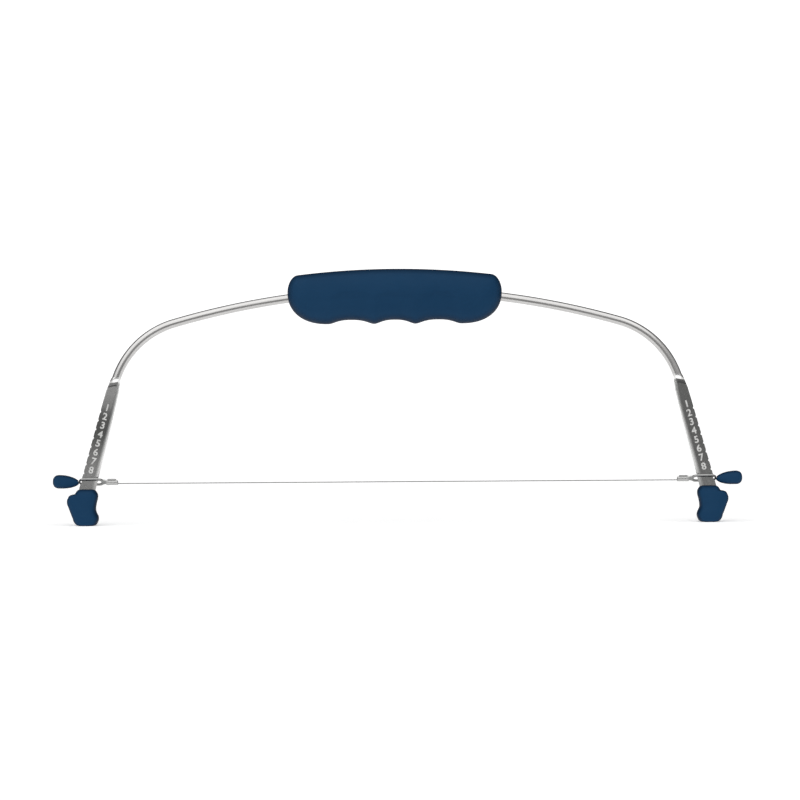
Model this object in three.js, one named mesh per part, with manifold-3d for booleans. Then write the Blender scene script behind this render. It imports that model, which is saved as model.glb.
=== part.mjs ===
// Adjustable bow cutter. A steel rod bow stands on two plastic feet and is held by a moulded handle.
// A twisted wire spans the two arms. A slotted clip at each end of it rides on a notched arm, so that
// the wire's height above the table can be set against the scale on the arms.
// Millimetres, +Z up, the front faces -Y, and the origin is on the table under the middle of the bow.
import * as THREE from 'three';
import { mergeVertices } from 'three/addons/utils/BufferGeometryUtils.js';
import Module from 'manifold-3d';

const wasm = await Module();
wasm.setup();

const GAP = 0.3; // between pieces that touch on the real object
const SPLIT_GAP = 0.15; // from the handle's parting plane to each shell
const BEYOND = 5; // how far a cutting tool runs past what it cuts
const degrees = (angle) => (angle * Math.PI) / 180;

// Bow: a shallow crown arc, two tight shoulder arcs and two straight arms that lean outwards
const ROD_RADIUS = 2.25;
const CROWN_TOP_Z = 120;
const CROWN_RADIUS = 416;
const CROWN_HALF_ANGLE = degrees(16);
const SHOULDER_RADIUS = 44.5;
const ARM_LEAN = degrees(14.9);
const ARM_END_Z = 4.5;
const ROD_SIDES = 16;

// Pressed flat arms: height on the arm, half width and half thickness of the section there
const PRESS_TOP_Z = 76.4;
const PRESS_STEPS = [
  { z: PRESS_TOP_Z, halfWidth: ROD_RADIUS, halfThickness: ROD_RADIUS, squareness: 2 },
  { z: 73.4, halfWidth: 2.6, halfThickness: 1.35, squareness: 4 },
  { z: 71.9, halfWidth: 2.85, halfThickness: 1.17, squareness: 5 },
  { z: 68.5, halfWidth: 3.3, halfThickness: 1.14, squareness: 6 },
  { z: 62, halfWidth: 3.5, halfThickness: 1.1, squareness: 7 },
  { z: 26.5, halfWidth: 4.03, halfThickness: 1.02, squareness: 7 },
  { z: ARM_END_Z, halfWidth: 4.33, halfThickness: 1, squareness: 7 },
];

// Scale: one notch for each height of the wire, on the outer edge of each arm
const WIRE_Z = 21.6; // with the clips in their lowest notches
const NOTCH_COUNT = 9;
const NOTCH_PITCH = 4.7; // along the arm
const NOTCH_DEPTH = 0.55;
const NOTCH_HALF_HEIGHT = 0.75;
const SCALE_BOTTOM_Z = 27; // the outer edge is straight between these two heights
const SCALE_TOP_Z = 58;

// Cutting wire
const WIRE_RADIUS = 0.25;
const WIRE_HALF_LENGTH = 148.8;

// Clip: sheet steel, leaning about its own axis. The wire lies low in its barrel.
const CLIP_Z = WIRE_Z + 0.85;
const SHEET = 0.8;
const CLIP_TILT = degrees(33);
const SLOT_INNER_X = 152.4;
const SLOT_OUTER_X = 163.6;
const SLOT_HALF_WIDTH = 2;
const SLOT_CORNER = 1.2;
const RING_BAR = 1.15;
const RING_END_BAR = 0.6;
const RING_CORNER = 2.6;
const NECK_HALF_WIDTH = 1.75;
const BARREL_START_X = 144;
const BARREL_LENGTH = 5.9;
const BARREL_HALF_WIDTH = 1.4;
const BARREL_HALF_HEIGHT = 1.6;
const BARREL_HOLE = 0.6;
const BARREL_SEAM = degrees(8); // half the angle of the gap between the folded wings
const BARREL_SEAM_AT = degrees(115); // it faces up and a little forwards
const TAIL_HALF_WIDTH = 0.7;
const TAIL_END_X = 171;

// Grip: a teardrop bead with its point towards the arm. The ring's outer end is let into it.
const GRIP_Z = WIRE_Z + 1.1;
const GRIP_TIP_X = SLOT_OUTER_X + GAP;
const GRIP_LENGTH = 13.5;
const GRIP_RADIUS = 3.5;
const GRIP_TIP_RADIUS = 1.7;
const GRIP_SWELL = 9; // length over which it swells from the tip
const GRIP_FULLNESS = 0.6;
const GRIP_END = 3.4; // length of its rounded end

// Handle
const HANDLE_X = -0.85; // it sits a little off the middle of the bow
const HANDLE_HALF_LENGTH = 55.3;
const HANDLE_END_FLAT = 0.15;
const HANDLE_HALF_DEPTH = 11;
const HANDLE_SQUARENESS = 2.5;
const HANDLE_ABOVE_ROD = 11.2;
const HANDLE_WIDEST_Z = 119.3;
const HANDLE_BOTTOM_Z = 102.9;
const FINGER_PITCH = 22.7;
const FINGER_DEPTH = 2.1;
const FINGER_END_X = 1.5 * FINGER_PITCH;
const TOP_CORNER = 5.2;
const BOTTOM_CORNER = 20.5;
const BOTTOM_CORNER_SQUARENESS = 2.25;
const DEPTH_CORNER = 12;
const DEPTH_CORNER_POWER = 0.8;
const HANDLE_WALL = 2.4;
const RIB_THICKNESS = 2;
const RIB_X = [-44, -22, 0, 22, 44]; // from the handle's middle, and so are the pins
const PIN_X = [-33, 33];
const PIN_Z = 110;
const PIN_RADIUS = 1.5;
const PIN_ROOT = 2; // how deep a pin stands in its own boss
const PIN_REACH = 5; // how far it goes into the other shell's
const BOSS_RADIUS = 3.3;

// Feet: height, inner and outer limits of the foot away from the middle, and half depth
const FOOT_STEPS = [
  { z: 0, inner: 156.4, outer: 164, halfDepth: 4.2 },
  { z: 0.7, inner: 155.1, outer: 165.6, halfDepth: 5.1 },
  { z: 2.3, inner: 154.4, outer: 166.7, halfDepth: 5.5 },
  { z: 4, inner: 154, outer: 167.3, halfDepth: 5.6 },
  { z: 6.4, inner: 154.7, outer: 168.2, halfDepth: 5.4 },
  { z: 9, inner: 155.4, outer: 169.3, halfDepth: 5.2 },
  { z: 11.6, inner: 155.1, outer: 170.2, halfDepth: 5.3 },
  { z: 13.6, inner: 154.5, outer: 170.2, halfDepth: 5.3 },
  { z: 15.3, inner: 154.3, outer: 169.3, halfDepth: 5.1 },
  { z: 16, inner: 154.3, outer: 168, halfDepth: 4.9 },
  { z: 16.3, inner: 154.4, outer: 166.7, halfDepth: 4.8 },
  { z: 17.6, inner: 155.1, outer: 165.8, halfDepth: 4.1 },
  { z: 18.7, inner: 155.9, outer: 164.3, halfDepth: 2.6 },
];
const FOOT_SIDES = 20;
const FOOT_SQUARENESS = 2.8;

// ---- helpers ------------------------------------------------------------------------------------

const NEARLY_ZERO = 1e-9;
const signedPower = (value, power) => (
  Math.abs(value) < NEARLY_ZERO ? 0 : Math.sign(value) * Math.abs(value) ** power
);
const squareness = (angle, exponent) => [
  signedPower(Math.cos(angle), 2 / exponent), signedPower(Math.sin(angle), 2 / exponent),
];

// The value of each key of a list of steps at height z, with straight lines between the steps
function stepsAt(steps, z, key) {
  const ordered = [...steps].sort((a, b) => a.z - b.z);
  if (z <= ordered[0].z) return ordered[0][key];
  for (let i = 1; i < ordered.length; i += 1) {
    const [low, high] = [ordered[i - 1], ordered[i]];
    if (z <= high.z) return THREE.MathUtils.mapLinear(z, low.z, high.z, low[key], high[key]);
  }
  return ordered[ordered.length - 1][key];
}

// A closed solid through a row of rings. place(ring, angle) gives each ring's points.
function loft(ringCount, sides, place) {
  const geometry = new THREE.CylinderGeometry(1, 1, 1, sides, ringCount - 1);
  const position = geometry.attributes.position;
  const point = new THREE.Vector3();
  for (let i = 0; i < position.count; i += 1) {
    point.fromBufferAttribute(position, i);
    const ring = Math.round((0.5 - point.y) * (ringCount - 1));
    const onAxis = Math.hypot(point.x, point.z) < 0.5;
    const angle = Math.atan2(point.z, point.x);
    const middle = () => place(ring, 0).add(place(ring, Math.PI)).multiplyScalar(0.5);
    const placed = onAxis ? middle() : place(ring, angle);
    position.setXYZ(i, placed.x, placed.y, placed.z);
  }
  return geometry;
}

function signedVolume(vertices, triangles) {
  const corner = (index) => new THREE.Vector3().fromArray(vertices, index * 3);
  let volume = 0;
  for (let i = 0; i < triangles.length; i += 3) {
    const [a, b, c] = [corner(triangles[i]), corner(triangles[i + 1]), corner(triangles[i + 2])];
    volume += a.dot(b.cross(c)) / 6;
  }
  return volume;
}

// Geometry to solid, turned to face outwards
function solid(geometry) {
  const bare = geometry.clone();
  bare.deleteAttribute('normal');
  bare.deleteAttribute('uv');
  const merged = mergeVertices(bare, 1e-5);
  const vertProperties = new Float32Array(merged.attributes.position.array);
  const triVerts = new Uint32Array(merged.index.array);
  if (signedVolume(vertProperties, triVerts) < 0) {
    for (let i = 0; i < triVerts.length; i += 3) {
      [triVerts[i], triVerts[i + 1]] = [triVerts[i + 1], triVerts[i]];
    }
  }
  return new wasm.Manifold(new wasm.Mesh({ numProp: 3, vertProperties, triVerts }));
}

function geometryOf(manifold) {
  const mesh = manifold.getMesh();
  const geometry = new THREE.BufferGeometry();
  geometry.setAttribute('position', new THREE.BufferAttribute(mesh.vertProperties, 3));
  geometry.setIndex(new THREE.BufferAttribute(mesh.triVerts, 1));
  geometry.computeVertexNormals();
  return geometry;
}

function box(low, high) {
  const size = high.map((value, i) => value - low[i]);
  const centre = high.map((value, i) => (value + low[i]) / 2);
  return solid(new THREE.BoxGeometry(...size).translate(...centre));
}

const add = (pieces) => pieces.reduce((whole, piece) => whole.add(piece));
const cut = (whole, tools) => tools.reduce((rest, tool) => rest.subtract(tool), whole);
const mirrored = (manifold) => manifold.mirror([1, 0, 0]);

// ---- bow ----------------------------------------------------------------------------------------

const crownEnd = {
  x: CROWN_RADIUS * Math.sin(CROWN_HALF_ANGLE),
  z: CROWN_TOP_Z - CROWN_RADIUS * (1 - Math.cos(CROWN_HALF_ANGLE)),
};
const ARM_SLOPE = Math.PI / 2 - ARM_LEAN; // below the horizontal
const armStart = {
  x: crownEnd.x + SHOULDER_RADIUS * (Math.sin(ARM_SLOPE) - Math.sin(CROWN_HALF_ANGLE)),
  z: crownEnd.z - SHOULDER_RADIUS * (Math.cos(CROWN_HALF_ANGLE) - Math.cos(ARM_SLOPE)),
};
const armX = (z) => armStart.x + (armStart.z - z) * Math.tan(ARM_LEAN);
const crownZ = (x) => CROWN_TOP_Z - CROWN_RADIUS + Math.sqrt(CROWN_RADIUS ** 2 - x ** 2);

// Points of the right half of the centreline, from the crown down, each with its slope
function halfCentreline() {
  const crownSteps = 9;
  const shoulderSteps = 12;
  const points = [];
  for (let i = 0; i <= crownSteps; i += 1) {
    const slope = (CROWN_HALF_ANGLE * i) / crownSteps;
    points.push({ x: CROWN_RADIUS * Math.sin(slope), z: crownZ(CROWN_RADIUS * Math.sin(slope)), slope });
  }
  for (let i = 1; i < shoulderSteps; i += 1) {
    const slope = CROWN_HALF_ANGLE + ((ARM_SLOPE - CROWN_HALF_ANGLE) * i) / shoulderSteps;
    const x = crownEnd.x + SHOULDER_RADIUS * (Math.sin(slope) - Math.sin(CROWN_HALF_ANGLE));
    const z = crownEnd.z - SHOULDER_RADIUS * (Math.cos(CROWN_HALF_ANGLE) - Math.cos(slope));
    if (z > PRESS_TOP_Z) points.push({ x, z, slope });
  }
  for (const { z } of PRESS_STEPS) {
    points.push({ x: armX(z), z, slope: ARM_SLOPE });
  }
  return points;
}

// The whole rod, or a tool that clears it by `grown` all round
function rodSolid(grown, endZ) {
  const half = halfCentreline();
  half[half.length - 1] = { ...half[half.length - 1], x: armX(endZ), z: endZ };
  const left = half.slice(1).reverse().map(({ x, z, slope }) => ({ x: -x, z, slope: -slope }));
  const line = [...left, ...half];
  return solid(loft(line.length, ROD_SIDES, (ring, angle) => {
    const { x, z, slope } = line[ring];
    const halfWidth = stepsAt(PRESS_STEPS, z, 'halfWidth') + grown;
    const halfThickness = stepsAt(PRESS_STEPS, z, 'halfThickness') + grown;
    const [across, deep] = squareness(angle, stepsAt(PRESS_STEPS, z, 'squareness'));
    const offset = across * halfWidth;
    const [offX, offZ] = [offset * Math.sin(slope), offset * Math.cos(slope)];
    return new THREE.Vector3(x + offX, deep * halfThickness, z + offZ);
  }));
}

const outerEdgeX = (z) => armX(z) + stepsAt(PRESS_STEPS, z, 'halfWidth') / Math.cos(ARM_LEAN);
// How far a clip moves inwards for each millimetre that it rises, to keep to the outer edge
const EDGE_SLOPE = (outerEdgeX(SCALE_BOTTOM_Z) - outerEdgeX(SCALE_TOP_Z)) / (SCALE_TOP_Z - SCALE_BOTTOM_Z);
const EDGE_ANGLE = Math.atan(EDGE_SLOPE);

function notches() {
  const cutters = [];
  for (let i = 0; i < NOTCH_COUNT; i += 1) {
    const z = WIRE_Z + i * NOTCH_PITCH * Math.cos(EDGE_ANGLE);
    const wedge = new THREE.Shape();
    wedge.moveTo(-NOTCH_DEPTH, 0);
    const spread = NOTCH_HALF_HEIGHT * (1 + BEYOND / NOTCH_DEPTH);
    wedge.lineTo(BEYOND, -spread);
    wedge.lineTo(BEYOND, spread);
    const depth = 4 * ROD_RADIUS;
    const geometry = new THREE.ExtrudeGeometry(wedge, { depth, bevelEnabled: false });
    geometry.rotateX(Math.PI / 2).translate(0, depth / 2, 0);
    geometry.rotateY(EDGE_ANGLE).translate(outerEdgeX(z), 0, z);
    cutters.push(solid(geometry));
  }
  return cutters;
}

function bowRod() {
  const right = notches();
  return cut(rodSolid(0, ARM_END_Z), [...right, ...right.map(mirrored)]);
}

// ---- handle -------------------------------------------------------------------------------------

const corner = (x, radius, exponent = 2) => {
  const past = Math.max(0, Math.abs(x) - (HANDLE_HALF_LENGTH - radius)) / radius;
  return Math.max(0, 1 - past ** exponent) ** (1 / exponent);
};

// The dip for each finger is an arc, and two arcs meet in a crest
function fingerRise(x) {
  if (Math.abs(x) >= FINGER_END_X) return 0;
  const fromMiddle = x / FINGER_PITCH - Math.round(x / FINGER_PITCH);
  return FINGER_DEPTH * (1 - (2 * fromMiddle) ** 2);
}

// The limits of the handle's section at x from its own middle
function handleSection(x) {
  const arch = crownZ(x) + HANDLE_ABOVE_ROD;
  const bottom = HANDLE_BOTTOM_Z + fingerRise(x);
  const bottomCorner = corner(x, BOTTOM_CORNER, BOTTOM_CORNER_SQUARENESS);
  return {
    top: HANDLE_WIDEST_Z + (arch - HANDLE_WIDEST_Z) * corner(x, TOP_CORNER),
    bottom: HANDLE_WIDEST_Z - (HANDLE_WIDEST_Z - bottom) * bottomCorner,
    halfDepth: HANDLE_HALF_DEPTH * corner(x, DEPTH_CORNER) ** DEPTH_CORNER_POWER,
  };
}

// Stations along the handle, closer together where its ends turn in
function handleStations(reach) {
  const middle = [];
  const middleSteps = 24;
  const bend = HANDLE_HALF_LENGTH - BOTTOM_CORNER;
  for (let i = 0; i <= middleSteps; i += 1) middle.push(-bend + (2 * bend * i) / middleSteps);
  const ends = [];
  const endSteps = 6;
  for (let i = 1; i <= endSteps; i += 1) {
    ends.push(bend + (reach - bend) * Math.sin((Math.PI / 2) * (i / endSteps)));
  }
  return [...ends.map((x) => -x).reverse(), ...middle, ...ends];
}

// The handle as one solid, or the same shape drawn in by `inset` all round
function handleBody(inset) {
  const sides = 20;
  const stations = handleStations(HANDLE_HALF_LENGTH - inset - HANDLE_END_FLAT);
  const stretch = HANDLE_HALF_LENGTH / (HANDLE_HALF_LENGTH - inset);
  const height = HANDLE_ABOVE_ROD + CROWN_TOP_Z - HANDLE_BOTTOM_Z;
  const shrink = 1 - (2 * inset) / height;
  return solid(loft(stations.length, sides, (ring, angle) => {
    const x = stations[ring];
    const { top, bottom, halfDepth } = handleSection(x * stretch);
    const [up, deep] = squareness(angle, HANDLE_SQUARENESS);
    const z = (top + bottom) / 2 + (up * (top - bottom) * shrink) / 2;
    return new THREE.Vector3(x + HANDLE_X, deep * halfDepth * shrink, z);
  }));
}

function cylinderY(radius, x, z, y0, y1) {
  const sides = 12;
  const geometry = new THREE.CylinderGeometry(radius, radius, Math.abs(y1 - y0), sides);
  return solid(geometry.translate(x, (y0 + y1) / 2, z));
}

// Two hollow shells with ribs that hold the rod, and with locating pins
function handleShells() {
  const farX = HANDLE_HALF_LENGTH + BEYOND;
  const farY = HANDLE_HALF_DEPTH + BEYOND;
  const [low, high] = [HANDLE_BOTTOM_Z - BEYOND, CROWN_TOP_Z + HANDLE_ABOVE_ROD + BEYOND];
  const within = (x0, x1, y0, y1) => box([x0, y0, low], [x1, y1, high]);
  const slab = (x) => within(x + HANDLE_X - RIB_THICKNESS / 2, x + HANDLE_X + RIB_THICKNESS / 2, -farY, farY);
  const inner = handleBody(HANDLE_WALL / 2);
  const ribs = add(RIB_X.map(slab)).intersect(inner);
  const hollow = handleBody(0).subtract(handleBody(HANDLE_WALL)).add(ribs);
  const walls = hollow.subtract(rodSolid(GAP, ARM_END_Z));
  const front = within(-farX, farX, -farY, -SPLIT_GAP);
  const rear = within(-farX, farX, SPLIT_GAP, farY);
  const posts = (radius, y0, y1) => PIN_X.map((x) => cylinderY(radius, x + HANDLE_X, PIN_Z, y0, y1));
  const frontBosses = add(posts(BOSS_RADIUS, -HANDLE_HALF_DEPTH, -SPLIT_GAP)).intersect(inner);
  const rearBosses = add(posts(BOSS_RADIUS, SPLIT_GAP, HANDLE_HALF_DEPTH)).intersect(inner);
  const pins = add(posts(PIN_RADIUS, -PIN_ROOT, PIN_REACH));
  const pinHoles = posts(PIN_RADIUS + GAP, -SPLIT_GAP, PIN_REACH + GAP);
  return {
    front: walls.intersect(front).add(frontBosses).add(pins),
    rear: cut(walls.intersect(rear).add(rearBosses), pinHoles),
  };
}

// ---- feet ---------------------------------------------------------------------------------------

function rightFoot() {
  const outside = solid(loft(FOOT_STEPS.length, FOOT_SIDES, (ring, angle) => {
    const { z, inner, outer, halfDepth } = FOOT_STEPS[ring];
    const [across, deep] = squareness(angle, FOOT_SQUARENESS);
    return new THREE.Vector3((inner + outer) / 2 + (across * (outer - inner)) / 2, deep * halfDepth, z);
  }));
  return outside.subtract(rodSolid(GAP, ARM_END_Z - GAP));
}

// ---- wire, clips and grips ----------------------------------------------------------------------

function cuttingWire() {
  const [sides, steps] = [8, 6];
  const geometry = new THREE.CylinderGeometry(WIRE_RADIUS, WIRE_RADIUS, 2 * WIRE_HALF_LENGTH, sides, steps);
  return solid(geometry.rotateZ(Math.PI / 2).translate(0, 0, WIRE_Z));
}

// The clip's flat outline in the sheet's own plane, x outwards and y across: neck, slotted ring and tail
function stampingOutline() {
  const [start, end] = [SLOT_INNER_X - RING_BAR, SLOT_OUTER_X + RING_END_BAR];
  const halfWidth = SLOT_HALF_WIDTH + RING_BAR;
  const [startX, endX, arcY] = [start + RING_CORNER, end - RING_CORNER, halfWidth - RING_CORNER];
  const neckMeets = Math.asin((NECK_HALF_WIDTH - arcY) / RING_CORNER);
  const tailMeets = Math.asin((TAIL_HALF_WIDTH - arcY) / RING_CORNER);
  const outline = new THREE.Shape();
  outline.moveTo(WIRE_HALF_LENGTH + GAP, -NECK_HALF_WIDTH);
  outline.absarc(startX, -arcY, RING_CORNER, Math.PI + neckMeets, 1.5 * Math.PI, false);
  outline.absarc(endX, -arcY, RING_CORNER, -Math.PI / 2, -tailMeets, false);
  outline.lineTo(TAIL_END_X, -TAIL_HALF_WIDTH);
  outline.lineTo(TAIL_END_X, TAIL_HALF_WIDTH);
  outline.absarc(endX, arcY, RING_CORNER, tailMeets, Math.PI / 2, false);
  outline.absarc(startX, arcY, RING_CORNER, Math.PI / 2, Math.PI - neckMeets, false);
  outline.lineTo(WIRE_HALF_LENGTH + GAP, NECK_HALF_WIDTH);
  return outline;
}

function slotOutline() {
  const [startX, endX] = [SLOT_INNER_X + SLOT_CORNER, SLOT_OUTER_X - SLOT_CORNER];
  const arcY = SLOT_HALF_WIDTH - SLOT_CORNER;
  const outline = new THREE.Path();
  outline.absarc(endX, -arcY, SLOT_CORNER, -Math.PI / 2, 0, false);
  outline.absarc(endX, arcY, SLOT_CORNER, 0, Math.PI / 2, false);
  outline.absarc(startX, arcY, SLOT_CORNER, Math.PI / 2, Math.PI, false);
  outline.absarc(startX, -arcY, SLOT_CORNER, Math.PI, 1.5 * Math.PI, false);
  return outline;
}

function stamping() {
  const outline = stampingOutline();
  outline.holes.push(slotOutline());
  const options = { depth: SHEET, bevelEnabled: false, curveSegments: 6 };
  return solid(new THREE.ExtrudeGeometry(outline, options).translate(0, 0, -SHEET / 2));
}

// A strip folded round the wire, with its two wings meeting at the seam
function barrel() {
  const [from, to] = [BARREL_SEAM_AT + BARREL_SEAM, BARREL_SEAM_AT + 2 * Math.PI - BARREL_SEAM];
  const seamAtHole = BARREL_SEAM * (BARREL_HALF_HEIGHT / BARREL_HOLE);
  const outline = new THREE.Shape();
  outline.absellipse(0, 0, BARREL_HALF_WIDTH, BARREL_HALF_HEIGHT, from, to, false, 0);
  const [holeTo, holeFrom] = [to + BARREL_SEAM - seamAtHole, from - BARREL_SEAM + seamAtHole];
  outline.absarc(0, WIRE_Z - CLIP_Z, BARREL_HOLE, holeTo, holeFrom, true);
  const options = { depth: BARREL_LENGTH, bevelEnabled: false, curveSegments: 20 };
  const geometry = new THREE.ExtrudeGeometry(outline, options);
  geometry.rotateX(Math.PI / 2).rotateZ(Math.PI / 2).translate(BARREL_START_X, 0, CLIP_Z);
  return solid(geometry);
}

const tilted = (manifold, x) => (
  manifold.rotate([-THREE.MathUtils.radToDeg(CLIP_TILT), 0, 0]).translate([x, 0, CLIP_Z])
);

const rightClip = () => tilted(stamping(), 0).add(barrel());

function rightGrip() {
  const profile = [new THREE.Vector2(0, 0)];
  const endStart = GRIP_LENGTH - GRIP_END;
  const [steps, endSteps, sides] = [8, 5, 16];
  for (let i = 0; i <= steps; i += 1) {
    const along = (endStart * i) / steps;
    const short = Math.max(0, 1 - along / GRIP_SWELL);
    const radius = Math.max(GRIP_TIP_RADIUS, GRIP_RADIUS * (1 - short ** 2) ** GRIP_FULLNESS);
    profile.push(new THREE.Vector2(radius, along));
  }
  for (let i = 1; i < endSteps; i += 1) {
    const angle = (Math.PI / 2) * (i / endSteps);
    profile.push(new THREE.Vector2(GRIP_RADIUS * Math.cos(angle), endStart + GRIP_END * Math.sin(angle)));
  }
  profile.push(new THREE.Vector2(0, GRIP_LENGTH));
  const bead = solid(new THREE.LatheGeometry(profile, sides).rotateZ(-Math.PI / 2));
  const roomFor = (halfWidth, endX) => {
    const [halfSheet, length] = [SHEET / 2 + GAP, endX - GRIP_TIP_X + GAP];
    return tilted(box([-BEYOND, -halfWidth, -halfSheet], [length, halfWidth, halfSheet]), GRIP_TIP_X);
  };
  const tailRoom = roomFor(TAIL_HALF_WIDTH + GAP, TAIL_END_X);
  const ringRoom = roomFor(SLOT_HALF_WIDTH + RING_BAR + GAP, SLOT_OUTER_X + RING_END_BAR);
  return cut(bead.translate([GRIP_TIP_X, 0, GRIP_Z]), [tailRoom, ringRoom]);
}

// ---- materials and assembly ---------------------------------------------------------------------

const polishedSteel = { color: 0xb9bcc0, roughness: 0.28, metalness: 1 };
const stampedSteel = { color: 0xa9abad, roughness: 0.35, metalness: 1 };
const twistedSteel = { color: 0x8d8f91, roughness: 0.45, metalness: 1 };
const navyPlastic = { color: 0x1d3c59, roughness: 0.5, metalness: 0 };

const cutter = new THREE.Group();

function place(name, manifold, finish) {
  const mesh = new THREE.Mesh(geometryOf(manifold), new THREE.MeshStandardMaterial(finish));
  mesh.name = name;
  cutter.add(mesh);
}

const shells = handleShells();
const foot = rightFoot();
const clip = rightClip();
const grip = rightGrip();

place('bow_rod', bowRod(), polishedSteel);
place('handle_front_shell', shells.front, navyPlastic);
place('handle_rear_shell', shells.rear, navyPlastic);
place('left_foot', mirrored(foot), navyPlastic);
place('right_foot', foot, navyPlastic);
place('cutting_wire', cuttingWire(), twistedSteel);
place('left_clip', mirrored(clip), stampedSteel);
place('right_clip', clip, stampedSteel);
place('left_grip', mirrored(grip), navyPlastic);
place('right_grip', grip, navyPlastic);

export default cutter;
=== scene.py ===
"""Looks of the adjustable bow cutter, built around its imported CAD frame. Metres, +Z up, front faces -Y."""
import math

import bmesh
import bpy
from mathutils import Matrix, Vector


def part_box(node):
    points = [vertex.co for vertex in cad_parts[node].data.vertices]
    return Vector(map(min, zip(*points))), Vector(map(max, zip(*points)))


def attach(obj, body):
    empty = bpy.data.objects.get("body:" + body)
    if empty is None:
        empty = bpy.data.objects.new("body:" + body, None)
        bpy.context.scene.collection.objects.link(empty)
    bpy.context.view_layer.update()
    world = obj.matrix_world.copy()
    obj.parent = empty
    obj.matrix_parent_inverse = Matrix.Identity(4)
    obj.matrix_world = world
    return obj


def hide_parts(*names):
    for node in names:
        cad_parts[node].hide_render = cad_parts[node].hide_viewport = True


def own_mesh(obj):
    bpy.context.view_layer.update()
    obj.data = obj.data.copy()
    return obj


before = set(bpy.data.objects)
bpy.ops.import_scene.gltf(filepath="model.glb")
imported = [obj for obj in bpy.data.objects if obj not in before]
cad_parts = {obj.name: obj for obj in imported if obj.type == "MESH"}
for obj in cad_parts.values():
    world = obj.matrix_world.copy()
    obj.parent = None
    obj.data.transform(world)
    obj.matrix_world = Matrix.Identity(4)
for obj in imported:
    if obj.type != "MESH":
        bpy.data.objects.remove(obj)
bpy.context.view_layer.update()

MM = 0.001
SAME_PLACE = 0.0001 * MM  # two corners this close are one


# ---- small helpers ------------------------------------------------------------------------------

def mix(a, b, share):
    return a + (b - a) * share


def clamp01(value):
    return min(1.0, max(0.0, value))


def smooth(low, high, value):
    share = clamp01((value - low) / (high - low))
    return share * share * (3 - 2 * share)


def squared(value, power):
    """The value raised to a power below 1 with its sign kept, which makes an ellipse squarer."""
    return math.copysign(abs(value) ** power, value)


def circle(count):
    """The angles of evenly spaced points around a circle."""
    return [2 * math.pi * j / count for j in range(count)]


def end_to_end(count):
    """Shares from 0 to 1 that lie closer together near both ends."""
    return [0.5 - 0.5 * math.cos(math.pi * i / count) for i in range(count + 1)]


def along_steps(steps, at, column):
    """A value at height `at` from rows of (height, value, ...), on a smooth curve through the rows."""
    if at <= steps[0][0]:
        return steps[0][column]
    for i in range(1, len(steps)):
        if at <= steps[i][0]:
            before = steps[max(0, i - 2)]
            low, high = steps[i - 1], steps[i]
            after = steps[min(len(steps) - 1, i + 1)]
            span = high[0] - low[0]
            share = (at - low[0]) / span
            slope_low = (high[column] - before[column]) / max(1e-9, high[0] - before[0]) * span
            slope_high = (after[column] - low[column]) / max(1e-9, after[0] - low[0]) * span
            return (
                low[column] * (2 * share ** 3 - 3 * share ** 2 + 1)
                + slope_low * (share ** 3 - 2 * share ** 2 + share)
                + high[column] * (3 * share ** 2 - 2 * share ** 3)
                + slope_high * (share ** 3 - share ** 2)
            )
    return steps[-1][column]


def new_mesh(name, vertices, faces):
    mesh = bpy.data.meshes.new(name)
    mesh.from_pydata([tuple(v) for v in vertices], [], faces)
    return mesh


def mesh_object(name, vertices, faces, body=None, slot=None, material=None):
    mesh = new_mesh(name, vertices, faces)
    mesh.validate()
    mesh.update()
    return finished(name, mesh, body, material)


def finished(name, mesh, body=None, material=None, sharp=35):
    """Makes the object, with outward normals, smooth shading and sharp creases, on its body."""
    work = bmesh.new()
    work.from_mesh(mesh)
    bmesh.ops.remove_doubles(work, verts=work.verts, dist=SAME_PLACE)
    bmesh.ops.recalc_face_normals(work, faces=work.faces)
    work.to_mesh(mesh)
    work.free()
    mesh.polygons.foreach_set("use_smooth", [True] * len(mesh.polygons))
    mesh.set_sharp_from_angle(angle=math.radians(sharp))
    made = bpy.data.objects.new(name, mesh)
    bpy.context.scene.collection.objects.link(made)
    if material:
        mesh.materials.append(material)
    if body:
        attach(made, body)
    return made


def loft(rings):
    """Vertices and faces of a skin through rings of equally many points, with a face at each end."""
    count = len(rings[0])
    vertices = [point for ring in rings for point in ring]
    faces = []
    for i in range(len(rings) - 1):
        for j in range(count):
            k = (j + 1) % count
            faces.append((i * count + j, i * count + k, (i + 1) * count + k, (i + 1) * count + j))
    faces.append(tuple(range(count)))
    faces.append(tuple((len(rings) - 1) * count + j for j in reversed(range(count))))
    return vertices, faces


def evaluated_mesh(source):
    graph = bpy.context.evaluated_depsgraph_get()
    return bpy.data.meshes.new_from_object(source.evaluated_get(graph))


def cut_away(target, tool):
    """Cuts the tool out of the target's mesh and removes the tool."""
    modifier = target.modifiers.new("cut", "BOOLEAN")
    modifier.operation = "DIFFERENCE"
    modifier.solver = "MANIFOLD"
    modifier.object = tool
    bpy.context.view_layer.update()
    mesh = evaluated_mesh(target)
    target.modifiers.remove(modifier)
    target.data = mesh
    bpy.data.objects.remove(tool)


def mirror_mesh(mesh):
    """The mesh mirrored left to right, with its faces still pointing out."""
    copy = mesh.copy()
    copy.transform(Matrix.Scale(-1, 4, (1, 0, 0)))
    copy.flip_normals()
    return copy


# ---- materials ----------------------------------------------------------------------------------

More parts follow.
